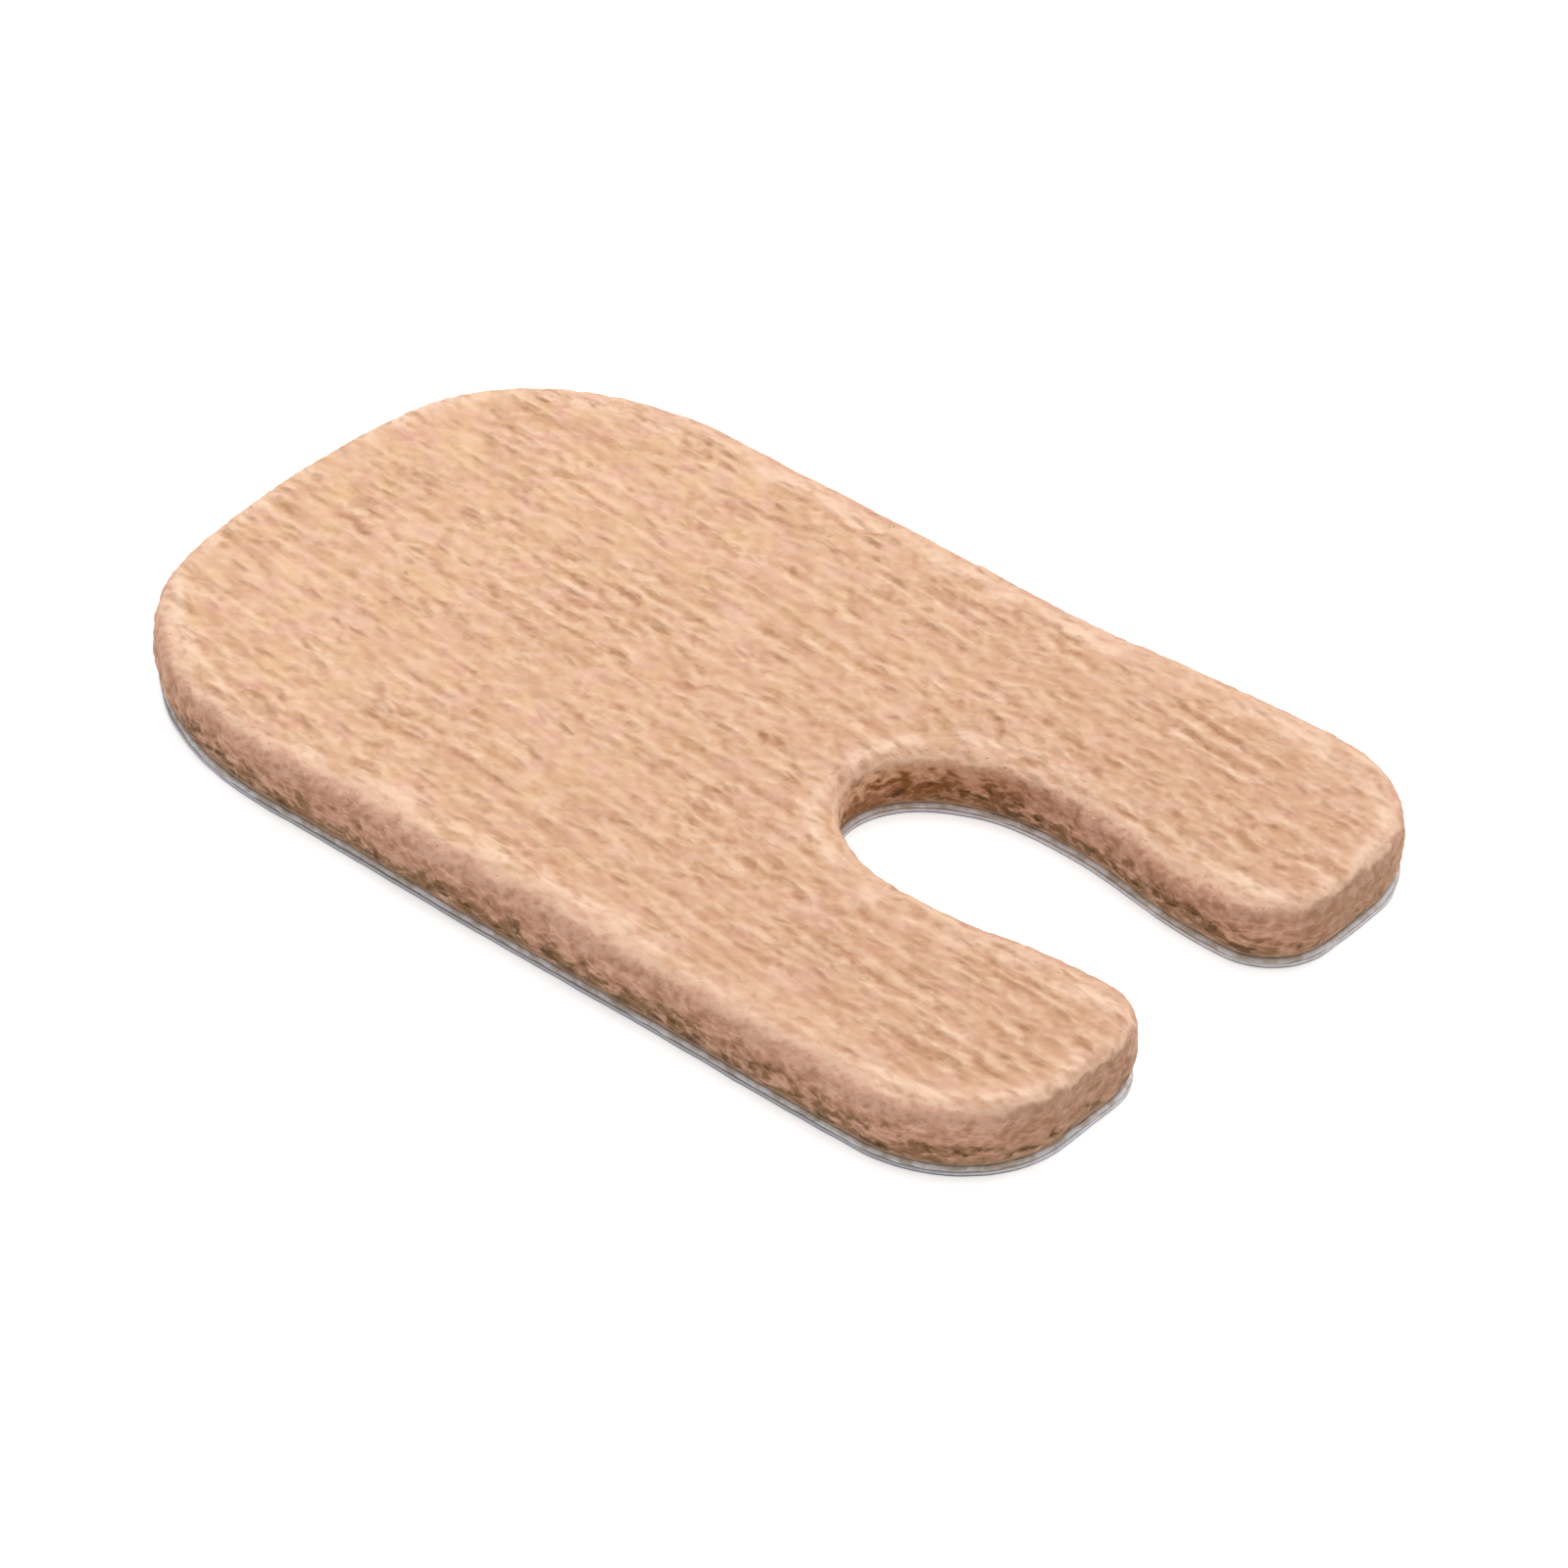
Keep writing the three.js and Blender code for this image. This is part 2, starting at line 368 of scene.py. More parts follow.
# the lip and the wall, rows from the top's edge down to the base
lip_turn = np.linspace(np.pi / 2, 0, LIP_ROWS + 2)[1:-1]
wall_rise = np.linspace(1, 0, WALL_ROWS)
under = np.clip(1 - wall_rise / undercut_share, 0, 1) ** 2
over = np.clip((wall_rise - undercut_share) / (1 - undercut_share), 0, 1) ** 2
lip_setback = lip_tuck + lip_width(ring) * (1 - np.cos(lip_turn))[:, None]
wall_setback = (wall_undercut * under + lip_tuck * over)[:, None] + 0 * ring[:, 0]
row_setback = np.vstack([lip_setback, wall_setback])
row_height = np.r_[lip_foot + lip_drop * np.sin(lip_turn), lip_foot * wall_rise]
lip_up, lip_out = lip_width(ring) * np.sin(lip_turn)[:, None], lip_drop * np.cos(lip_turn)[:, None]
lip_up, lip_out = lip_up / np.hypot(lip_up, lip_out), lip_out / np.hypot(lip_up, lip_out)
row_up = np.vstack([lip_up, 0 * wall_setback])
row_out = np.vstack([lip_out, 1 + 0 * wall_setback])
wall_xy = ring[None, :, :2] - ring[None, :, 2:4] * row_setback[..., None]
over_relief, over_groove = combed_relief(wall_xy)
out_relief, pit = matted_relief(*np.broadcast_arrays(ring_run[None], row_height[:, None]))
wall_z = felt_base + row_height[:, None] * (1 + ring_lift[None]) + over_relief * row_up
wall_xy = wall_xy + ring[None, :, 2:4] * (out_relief * row_out)[..., None]
wall_points = np.concatenate([wall_xy, wall_z[..., None]], -1)

# one closed mesh: the two top patches share their middle line, the wall hangs from their edge
ids = np.arange(flat_top.shape[0] * flat_top.shape[1] * flat_top.shape[2]).reshape(flat_top.shape[:3])
ids[1, :CELLS_MIDDLE + 1, 0] = ids[0, :CELLS_MIDDLE + 1, 0]


def patch_quads(half, turned):
    """Quads of one half of the top, wound to face up."""
    quads = np.stack([half[:-1, :-1], half[1:, :-1], half[1:, 1:], half[:-1, 1:]], -1).reshape(-1, 4)
    return quads[:, ::-1] if turned else quads


edge_ids = np.concatenate([
    ids[0, CELLS_MIDDLE:-1, 0], ids[0, -1, :-1], ids[0, :0:-1, -1], ids[0, 0, :0:-1],
    ids[1, 0, :-1], ids[1, :-1, -1], ids[1, -1, :0:-1], ids[1, :CELLS_MIDDLE:-1, 0],
])
wall_start = ids.size
wall_at = wall_start + np.arange(len(ring))
met_at = wall_at[met]
next_edge, next_met = np.roll(edge_ids, -1), np.roll(met_at, -1)
whole_step = (next_met - met_at == 1) | ((next_met < met_at) & (met[-1]))
plain = np.stack([edge_ids, met_at, next_met, next_edge], -1)[whole_step]
split = np.stack([edge_ids, met_at, met_at + 1, next_met, next_edge], -1)[~whole_step]
rows = LIP_ROWS + WALL_ROWS
wall_quads = band(rows, len(ring))[:, ::-1] + wall_start
base_face = (wall_start + (rows - 1) * len(ring) + np.arange(len(ring)))[None, ::-1]

# marks for the material: how far the cut shows, its grooves and pits, which take painted shade, its clump
# ridges, which take a painted highlight, the band of painted highlight along the rim, the areas that the
# comb pulled up, and how much painted shade the cut wall takes
steepness = 2 - 1.2 * ring[None, :, 3] ** 2 + 2 * slot_end_near
wall_cut = np.vstack([np.cos(lip_turn)[:, None] ** steepness, 1.3 + 0 * wall_setback])
ridge, over_ridge = (np.clip(on_top(combed, points) - 0.6, 0, 2) / 2 for points in (top_points, wall_xy))
# the band of painted highlight along the rim, on the top and down the lip
rim_highlight_band = np.exp(-((away - ring_highlight_in[met][nearest]) / rim_highlight_width) ** 2)
lip_run = lip_width(ring) * (np.pi / 2 - lip_turn)[:, None]
lip_highlight_band = np.vstack([np.exp(-((lip_run + ring_highlight_in) / rim_highlight_width) ** 2), 0 * wall_setback])
pulled_up = np.clip(0.5 + 0.4 * on_top(uneven, top_points), 0, 1)
painted_shade = ring_painted_shade[None] + 0 * wall_z
felt = mesh_piece(
    "felt_pad_body",
    np.vstack([top_points.reshape(-1, 3), wall_points.reshape(-1, 3)]),
    [patch_quads(ids[0], False), patch_quads(ids[1], True), plain, split, wall_quads, base_face],
    {
        "cut": np.r_[np.zeros(ids.size), wall_cut.ravel()],
        "groove": np.r_[groove.ravel(), (over_groove * row_up ** 2 + pit * row_out ** 2).ravel()],
        "ridge": np.r_[ridge.ravel(), (over_ridge * row_up ** 2).ravel()],
        "rim": np.r_[rim_highlight_band.ravel(), lip_highlight_band.ravel()],
        "pulled": np.r_[pulled_up.ravel(), 0.5 + 0 * wall_z.ravel()],
        "painted_shade": np.r_[np.zeros(ids.size), painted_shade.ravel()],
    },
)
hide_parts("felt_pad")


def shader_group(name, inputs, outputs):
    """An empty shader node group with its two end nodes. Inputs are rows of name, kind of socket and
    first value, and outputs are rows of name and kind."""
    group = bpy.data.node_groups.new(name, "ShaderNodeTree")
    for label, kind, value in inputs:
        made = group.interface.new_socket(label, in_out="INPUT", socket_type="NodeSocket" + kind)
        if kind == "Float":
            made.default_value = value
    for label, kind in outputs:
        group.interface.new_socket(label, in_out="OUTPUT", socket_type="NodeSocket" + kind)
    return group, group.nodes.new("NodeGroupInput").outputs, group.nodes.new("NodeGroupOutput").inputs


def put(tree, kind, wires=(), **settings):
    """Adds one node. wires gives each input, by name or number, a value or another node's socket."""
    made = tree.nodes.new(kind)
    for key, value in settings.items():
        setattr(made, key, value)
    for key, value in dict(wires).items():
        if isinstance(value, bpy.types.NodeSocket):
            tree.links.new(value, made.inputs[key])
        else:
            made.inputs[key].default_value = value
    return made


def maths(tree, operation, *values):
    """The result of one Math node."""
    return put(tree, "ShaderNodeMath", enumerate(values), operation=operation).outputs[0]


def product(tree, first, *others):
    """The product of all the values."""
    for value in others:
        first = maths(tree, "MULTIPLY", first, value)
    return first


def total(tree, first, *others):
    """The sum of all the values."""
    for value in others:
        first = maths(tree, "ADD", first, value)
    return first


def vector(tree, operation, *values):
    """The vector result of one Vector Math node."""
    return put(tree, "ShaderNodeVectorMath", enumerate(values), operation=operation).outputs[0]


def ramp(tree, value, low, high, start=0.0, end=1.0):
    """value moved smoothly from start to end while it goes from low to high."""
    made = put(tree, "ShaderNodeMapRange", interpolation_type="SMOOTHSTEP", wires={
        "Value": value, "From Min": low, "From Max": high, "To Min": start, "To Max": end})
    return made.outputs["Result"]


def blend(tree, amount, first, second):
    """Colour between first and second by amount."""
    made = put(tree, "ShaderNodeMix", data_type="RGBA")
    for socket, value in ((made.inputs[0], amount), (made.inputs[6], first), (made.inputs[7], second)):
        if isinstance(value, bpy.types.NodeSocket):
            tree.links.new(value, socket)
        else:
            socket.default_value = value
    return made.outputs[2]


def colour(red, green, blue):
    """Screen colour from 0 to 255 as linear values."""
    screen = np.array([red, green, blue]) / 255
    return (*np.where(screen < 0.04045, screen / 12.92, ((screen + 0.055) / 1.055) ** 2.4), 1.0)


def grouped(tree, group, place, **values):
    """The outputs of a shader group, laid at place, with its own values."""
    made = put(tree, "ShaderNodeGroup", node_tree=group)
    tree.links.new(place, made.inputs["Vector"])
    for key, value in values.items():
        made.inputs[key].default_value = value
    return made.outputs


def new_material(name):
    """A material with its Principled shader, and its own coordinates in millimetres."""
    material = bpy.data.materials.new(name)
    material.use_nodes = True
    tree = material.node_tree
    shader = next(node for node in tree.nodes if node.type == "BSDF_PRINCIPLED")
    place = put(tree, "ShaderNodeTexCoord").outputs["Object"]
    return material, tree, shader, vector(tree, "MULTIPLY", place, (1000.0, 1000.0, 1000.0))


def mark(tree, name):
    """The value that the mesh carries under this name."""
    return put(tree, "ShaderNodeAttribute", attribute_name=name).outputs["Fac"]


# cloudy patches of a given size in millimetres
cloud, cloud_in, cloud_out = shader_group(
    "cloudy_patches",
    [("Vector", "Vector", None), ("Size", "Float", 4.0), ("Contrast", "Float", 1.0),
     ("Detail", "Float", 2.0)],
    [("Patch", "Float")],
)
puff = put(cloud, "ShaderNodeTexNoise", {
    "Vector": cloud_in["Vector"], "Scale": maths(cloud, "DIVIDE", 1.0, cloud_in["Size"]),
    "Detail": cloud_in["Detail"]})
swing = product(cloud, maths(cloud, "SUBTRACT", puff.outputs["Fac"], 0.5), cloud_in["Contrast"])
spread = put(cloud, "ShaderNodeMath", {0: swing, 1: 2.2, 2: 0.5}, operation="MULTIPLY_ADD", use_clamp=True)
cloud.links.new(spread.outputs[0], cloud_out["Patch"])

# soft combed streaks: the difference of one drawn-out noise and the same noise a step to the side, so
# that a groove always has a ridge next to it. The felt bumps by them, paints shade into the grooves and
# paints a highlight onto the ridges
streaks, streaks_in, streaks_out = shader_group(
    "combed_streaks",
    [("Vector", "Vector", None), ("Length", "Float", 2.2), ("Width", "Float", 0.6), ("Turn", "Float", 0.1)],
    [("Groove", "Float"), ("Ridge", "Float")],
)
ripple = put(streaks, "ShaderNodeTexNoise", {"Vector": streaks_in["Vector"], "Scale": 0.9, "Detail": 2.0})
bent = vector(streaks, "MULTIPLY_ADD", ripple.outputs["Color"], (0.5, 0.5, 0.0), streaks_in["Vector"])
turned = put(streaks, "ShaderNodeVectorRotate", {"Vector": bent, "Angle": streaks_in["Turn"]},
             rotation_type="Z_AXIS").outputs[0]
drawn = put(streaks, "ShaderNodeCombineXYZ", {
    "X": streaks_in["Length"], "Y": streaks_in["Width"], "Z": streaks_in["Width"]}).outputs[0]
drawn_place = vector(streaks, "DIVIDE", turned, drawn)
here, beside = (
    put(streaks, "ShaderNodeTexNoise", {
        "Vector": vector(streaks, "ADD", drawn_place, (0.0, step, 0.0)), "Scale": 1.0, "Detail": 1.0,
        "Roughness": 0.4}).outputs[0]
    for step in (0.0, 0.75))
difference = maths(streaks, "SUBTRACT", here, beside)
streaks.links.new(ramp(streaks, difference, -0.03, -0.26), streaks_out["Groove"])
streaks.links.new(ramp(streaks, difference, 0.03, 0.26), streaks_out["Ridge"])

# deep combed dashes: each cell of a drawn-out pattern holds one groove, some deep and some faint
dashes, dashes_in, dashes_out = shader_group(
    "combed_dashes",
    [("Vector", "Vector", None), ("Length", "Float", 1.2), ("Width", "Float", 0.45)],
    [("Groove", "Float"), ("Ridge", "Float")],
)
ripple = put(dashes, "ShaderNodeTexNoise", {"Vector": dashes_in["Vector"], "Scale": 1.1, "Detail": 2.0})
bent = vector(dashes, "MULTIPLY_ADD", ripple.outputs["Color"], (0.3, 0.3, 0.0), dashes_in["Vector"])
cell_size = put(dashes, "ShaderNodeCombineXYZ", {
    "X": dashes_in["Length"], "Y": dashes_in["Width"], "Z": 1.0}).outputs[0]
cell = vector(dashes, "DIVIDE", bent, cell_size)
cells = put(dashes, "ShaderNodeTexVoronoi", {"Vector": cell, "Scale": 1.0}, voronoi_dimensions="2D")
chance = put(dashes, "ShaderNodeSeparateColor", {0: cells.outputs["Color"]})
away_from_seed = vector(dashes, "SUBTRACT", cell, cells.outputs["Position"])
away_from_seed = vector(dashes, "MULTIPLY", away_from_seed, cell_size)
turned = put(dashes, "ShaderNodeVectorRotate", {
    "Vector": away_from_seed, "Angle": ramp(dashes, chance.outputs[0], 0.0, 1.0, -0.12, 0.32)},
    rotation_type="Z_AXIS").outputs[0]
strength = ramp(dashes, chance.outputs[1], 0.45, 1.0)
dash_size = vector(dashes, "MULTIPLY", cell_size, (0.48, 0.30, 1.0))
for label, shift in (("Groove", (0.0, 0.0, 0.0)), ("Ridge", (0.0, -0.2, 0.0))):
    here = vector(dashes, "DIVIDE", vector(dashes, "ADD", turned, shift), dash_size)
    flat_here = vector(dashes, "MULTIPLY", here, (1.0, 1.0, 0.0))
    reach = put(dashes, "ShaderNodeVectorMath", {0: flat_here}, operation="LENGTH").outputs["Value"]
    dashes.links.new(product(dashes, ramp(dashes, reach, 1.0, 0.0), strength), dashes_out[label])

# the felt's colour at a point: tan with rose and straw patches on top, painted shade toward the prongs and
# in the combed grooves, a painted highlight on the ridges and along the rim, and a cut wall painted as
# shade from rose tan to olive brown toward its foot, with painted bounce light on its lowest part and dark
# olive spots low on it
felt_tone, felt_in, felt_out = shader_group(
    "felt_tone",
    [("Vector", "Vector", None), ("Groove", "Float", 0.0), ("Ridge", "Float", 0.0), ("Rim", "Float", 0.0),
     ("Cut", "Float", 0.0), ("Pulled", "Float", 0.5), ("Painted_shade", "Float", 0.5)],
    [("Color", "Color"), ("Relief", "Float")],
)
mm = felt_in["Vector"]
side_step = vector(felt_tone, "ADD", mm, (31.3, 7.7, 3.1))
apart = put(felt_tone, "ShaderNodeSeparateXYZ", {0: mm}).outputs
broad_streak = grouped(felt_tone, streaks, mm, Length=1.1, Width=0.78, Turn=0.10)
fine_streak = grouped(felt_tone, streaks, side_step, Length=0.65, Width=0.52, Turn=0.12)
long_streak = grouped(felt_tone, streaks, side_step, Length=6.0, Width=0.66, Turn=0.09)
long_dash = grouped(felt_tone, dashes, side_step, Length=2.2, Width=0.9)
rose = grouped(felt_tone, cloud, mm, Size=1.7, Contrast=2.2, Detail=1.5)[0]
straw = grouped(felt_tone, cloud, side_step, Size=1.5, Contrast=2.0, Detail=1.5)[0]
drawn_out = vector(felt_tone, "MULTIPLY", side_step, (0.6, 1.0, 1.0))
shadowy = grouped(felt_tone, cloud, drawn_out, Size=1.5, Contrast=2.0, Detail=1.0)[0]
deeper, higher = (
    ramp(felt_tone, felt_in["Pulled"], 0.0, 1.0, *span) for span in ((0.5, 1.1), (0.6, 1.05)))
dark, pale = (
    product(felt_tone, envelope, total(
        felt_tone, product(felt_tone, broad_streak[label], 0.55),
        product(felt_tone, fine_streak[label], 0.4), product(felt_tone, long_streak[label], 0.6)))
    for label, envelope in (("Groove", deeper), ("Ridge", higher)))

# the top, from its tan to its deepest dashes, each row a share and the colour that it lays over the rest
# colours of painted shade in the grooves, of painted highlight on the ridges, which also pales loose
# fibres,  and of painted highlight along the rim
painted_groove_shade, ridge_highlight_and_pale_fibre, painted_rim_highlight = colour(168, 118, 84), colour(240, 206, 176), colour(242, 208, 183)
rim_wave = ramp(felt_tone, shadowy, 0.9, 0.2, 0.2, 0.75)
top = blend(felt_tone, rose, colour(222, 179, 147), colour(223, 174, 152))
for share, laid in (
        (product(felt_tone, straw, 0.7), colour(223, 182, 139)),
        # painted shade: the top darkens from the head toward the prongs
        (ramp(felt_tone, apart["X"], -30.0, 32.0, 0.0, 0.6), colour(200, 154, 127)),
        (ramp(felt_tone, shadowy, 0.3, 1.0, 0.0, 0.3), colour(196, 146, 112)),
        # painted highlight along the rim
        (product(felt_tone, felt_in["Rim"], rim_wave), painted_rim_highlight),
        # painted highlight on the ridges and painted shade in the grooves: the mesh's clumps, the streaks,
        # the dashes
        (product(felt_tone, felt_in["Ridge"], 0.25), ridge_highlight_and_pale_fibre),
        (product(felt_tone, felt_in["Groove"], 0.2), painted_groove_shade),
        (product(felt_tone, pale, 0.5), ridge_highlight_and_pale_fibre),
        (product(felt_tone, dark, 0.55), painted_groove_shade),
        (product(felt_tone, long_dash["Ridge"], 0.3), ridge_highlight_and_pale_fibre),
        (product(felt_tone, long_dash["Groove"], 0.5), colour(150, 100, 70))):
    top = blend(felt_tone, share, top, laid)

# the wall's mats lie in layers, so their patches are wider than high. The height that its colours
# follow is ragged with them, and counts as lower where the painted shade mark is higher, so that the
# painted shade reaches further up the wall there
layered = vector(felt_tone, "MULTIPLY", mm, (1.0, 1.0, 1.7))
layered_step = vector(felt_tone, "ADD", layered, (5.3, 1.9, 0.7))
mats = grouped(felt_tone, cloud, layered, Size=1.2, Contrast=2.0, Detail=2.0)[0]
speck = grouped(felt_tone, cloud, layered, Size=0.5, Contrast=1.6, Detail=2.0)[0]
spots = grouped(felt_tone, cloud, layered_step, Size=1.0, Contrast=2.0, Detail=2.5)[0]
mats_swing, speck_swing = (maths(felt_tone, "SUBTRACT", patch_mark, 0.5) for patch_mark in (mats, speck))
height = total(
    felt_tone, apart["Z"], product(felt_tone, mats_swing, 1.1), product(felt_tone, speck_swing, 0.5),
    ramp(felt_tone, felt_in["Painted_shade"], 0.0, 1.0, 0.5, -0.3))
# the slot's closed end, where the wall takes the most painted shade
deep_in = ramp(felt_tone, felt_in["Painted_shade"], 0.6, 1.0)
# the foot's painted shade, darker where the painted shade mark is higher
foot = blend(
    felt_tone, ramp(felt_tone, felt_in["Painted_shade"], 0.0, 1.0), colour(150, 114, 84), colour(112, 74, 34))
# painted shade on the prong fronts, where the painted shade mark is low
prong_front = product(
    felt_tone, ramp(felt_tone, felt_in["Painted_shade"], 0.35, 0.1, 0.0, 0.6),
    ramp(felt_tone, apart["X"], 0.0, 25.0))
contrast = ramp(felt_tone, felt_in["Painted_shade"], 0.3, 1.0, 0.7, 1.5)
# painted highlight on the upper wall round the slot's closed end
slot_rim = product(
    felt_tone, ramp(felt_tone, felt_in["Painted_shade"], 0.7, 1.0, 0.0, 0.75), ramp(felt_tone, height, 1.8, 3.1))
low_wall = product(felt_tone, ramp(felt_tone, height, 2.2, 1.2), ramp(felt_tone, apart["Z"], 0.5, 0.8))
# painted shade: the cut wall darkens from under the lip down to its foot
wall = blend(felt_tone, ramp(felt_tone, height, 3.9, 2.6), colour(209, 161, 135), colour(192, 141, 113))
for share, laid in (
        # painted shade round the slot's closed end, in the warm brown of light bounced between its walls
        (product(felt_tone, deep_in, 0.75), colour(200, 134, 88)),
        # painted shade: the foot's colour toward the bottom of the wall
        (ramp(felt_tone, height, 2.7, 1.2), foot),
        (prong_front, colour(150, 112, 84)),
        (product(felt_tone, ramp(felt_tone, mats, 0.5, 1.0, 0.0, 0.25), contrast), colour(222, 176, 156)),
        (product(felt_tone, ramp(felt_tone, speck, 0.5, 1.0, 0.0, 0.25), contrast), colour(224, 182, 158)),
        (product(felt_tone, ramp(felt_tone, speck, 0.5, 0.0, 0.0, 0.25), contrast), colour(140, 94, 68)),
        # deeper painted shade round the slot's closed end
        (product(felt_tone, deep_in, 0.5), colour(148, 88, 36)),
        (slot_rim, colour(240, 194, 160)),
        # painted shade in the wall's pits and in the grooves that run over the lip
        (product(felt_tone, felt_in["Groove"], 0.3), colour(130, 88, 58)),
        # painted light: the lowest felt is lighter, as light that bounces up from the pale liner
        (ramp(felt_tone, apart["Z"], 0.9, 0.5, 0.0, 0.6), colour(190, 160, 136)),
        (product(felt_tone, ramp(felt_tone, spots, 0.62, 1.0, 0.0, 0.85), low_wall), colour(84, 56, 26))):
    wall = blend(felt_tone, share, wall, laid)

# the top runs out over the lip with a torn border, where its fibre ends catch the light
torn_cut = total(felt_tone, felt_in["Cut"], product(felt_tone, mats_swing, 0.4))
cut_over = ramp(felt_tone, torn_cut, 0.22, 0.88)
edge_light = product(
    felt_tone, ramp(felt_tone, torn_cut, 0.0, 0.4, 0.0, 0.4), ramp(felt_tone, torn_cut, 0.85, 0.4))
toned_felt = blend(felt_tone, edge_light, blend(felt_tone, cut_over, top, wall), painted_rim_highlight)
felt_tone.links.new(toned_felt, felt_out["Color"])
combed_height = maths(felt_tone, "SUBTRACT", pale, dark)
combed_height = maths(felt_tone, "SUBTRACT", combed_height, long_dash["Groove"])
matted_height = total(felt_tone, speck, product(felt_tone, mats, 0.5))
relief_mix = put(felt_tone, "ShaderNodeMix", {0: cut_over, 2: combed_height, 3: matted_height})
felt_tone.links.new(relief_mix.outputs[0], felt_out["Relief"])


def toned(tree, mm):
    """Colour and relief of the felt, with the marks that this mesh carries."""
    tone = put(tree, "ShaderNodeGroup", node_tree=felt_tone)
    tree.links.new(mm, tone.inputs["Vector"])
    for label in ("Groove", "Ridge", "Rim", "Cut", "Pulled", "Painted_shade"):
        tree.links.new(mark(tree, label.lower()), tone.inputs[label])
    return tone.outputs


felt_material, tree, shader, mm = new_material("tan_wool_felt")
tone = toned(tree, mm)
tree.links.new(tone["Color"], shader.inputs["Base Color"])
tree.links.new(ramp(tree, tone["Relief"], -1.0, 1.0, 0.98, 0.85), shader.inputs["Roughness"])
bump = put(tree, "ShaderNodeBump", {"Height": tone["Relief"], "Strength": 0.65, "Distance": 0.06 * MM})
tree.links.new(bump.outputs[0], shader.inputs["Normal"])
shader.inputs["Sheen Weight"].default_value = 0.3
shader.inputs["Sheen Roughness"].default_value = 0.4
shader.inputs["Sheen Tint"].default_value = (1.0, 0.78, 0.6, 1.0)
shader.inputs["Specular IOR Level"].default_value = 0.15
felt.data.materials.append(felt_material)

# Loose fibres
# Single wool and rayon fibres and flat tufts of them that the die pulled loose: tangled on the cut
# wall, and brushed up as a short fuzz along the rim.
FIBRE_RINGS = 5
FIBRE_SIDES = 5
FIBRE_FLATNESS = 0.35


def on_grid(grid, a, b):
    """Values of a grid at fractional rows a, which go round, and columns b, which end at its edges:
    the four nearest cells weighted by nearness."""
    a = a % grid.shape[0]
    b = np.clip(b, 0, grid.shape[1] - 1 - 1e-6)
    i, j = np.floor(a).astype(int), np.floor(b).astype(int)
    s, t = (a - i)[..., None], (b - j)[..., None]
    k = (i + 1) % grid.shape[0]
    low = grid[i, j] * (1 - s) + grid[k, j] * s
    return low * (1 - t) + (grid[i, j + 1] * (1 - s) + grid[k, j + 1] * s) * t


def unit(vectors):
    """Vectors at length one."""
    return vectors / np.maximum(np.linalg.norm(vectors, axis=-1, keepdims=True), 1e-12)


def fibres_on(grid, marks, count, length, radius, turn, lift, free):
    """Spindles that lie on a grid of surface points. Each follows a slightly bent line through the
    grid, from a random cell chosen by area that isn't much sheared, and stands off the surface by
    lift at its middle, or at its far end where free is 1. turn is the spread of its angle to the
    grid's rows, in degrees."""
    along = np.roll(grid, -1, 0) - grid
    across = np.gradient(grid, axis=1)
    normal = unit(np.cross(across, along))
    area = np.linalg.norm(np.cross(along, across), axis=-1)
    square = area / (np.linalg.norm(along, axis=-1) * np.linalg.norm(across, axis=-1))
    area = np.where(square > 0.75, area, 0)[:, :-1]
    pick = rng.choice(area.size, count, p=area.ravel() / area.sum())
    a, b = np.divmod(pick, area.shape[1])
    a, b = a + rng.random(count), b + rng.random(count)
    step_a = np.linalg.norm(on_grid(along, a, b), axis=-1)
    step_b = np.linalg.norm(on_grid(across, a, b), axis=-1)
    size = length[0] + (length[1] - length[0]) * rng.random(count) ** 1.5
    thick = radius[0] + (radius[1] - radius[0]) * rng.random(count)
    angle = np.radians(turn) * rng.standard_normal(count)
    bend = size * 0.12 * rng.standard_normal(count)
    t = np.linspace(0, 1, FIBRE_RINGS)[None]
    run = size[:, None] * (t - 0.5)
    sway = bend[:, None] * ((t - 0.5) ** 2 * 4 - 0.5)
    c, s = np.cos(angle)[:, None], np.sin(angle)[:, None]
    at_a = a[:, None] + (run * c - sway * s) / step_a[:, None]
    at_b = b[:, None] + (run * s + sway * c) / step_b[:, None]
    up = on_grid(normal, at_a, at_b)
    stand = free * t ** 1.6 + (1 - free) * 4 * t * (1 - t)
    sunk = 0.3 * free + (1 - free) * (0.16 + 1.0 * (2 * t - 1) ** 2)
    rise = (lift[0] + (lift[1] - lift[0]) * rng.random(count))[:, None] * stand - sunk * thick[:, None]
    path = on_grid(grid, at_a, at_b) + up * rise[..., None]
    forward = unit(np.gradient(path, axis=1))
    sideways = unit(np.cross(forward, up))
    lifted = np.cross(sideways, forward)
    taper = 1 - 0.75 * t if free else np.sin(np.pi * (0.06 + 0.88 * t)) ** 0.7
    turned = np.radians(18 + 360 / FIBRE_SIDES * np.arange(FIBRE_SIDES))
    reach = (thick[:, None] * taper)[..., None, None]
    wide, high = np.cos(turned)[:, None], FIBRE_FLATNESS * np.sin(turned)[:, None]
    points = path[:, :, None] + reach * (wide * sideways[:, :, None] + high * lifted[:, :, None])
    kept = {name: on_grid(values[..., None], at_a, at_b)[..., 0] for name, values in marks.items()}
    kept = {name: np.repeat(values, FIBRE_SIDES, axis=1).ravel() for name, values in kept.items()}
    return points.reshape(-1, 3), {"shade": np.repeat(rng.random(count), FIBRE_RINGS * FIBRE_SIDES), **kept}


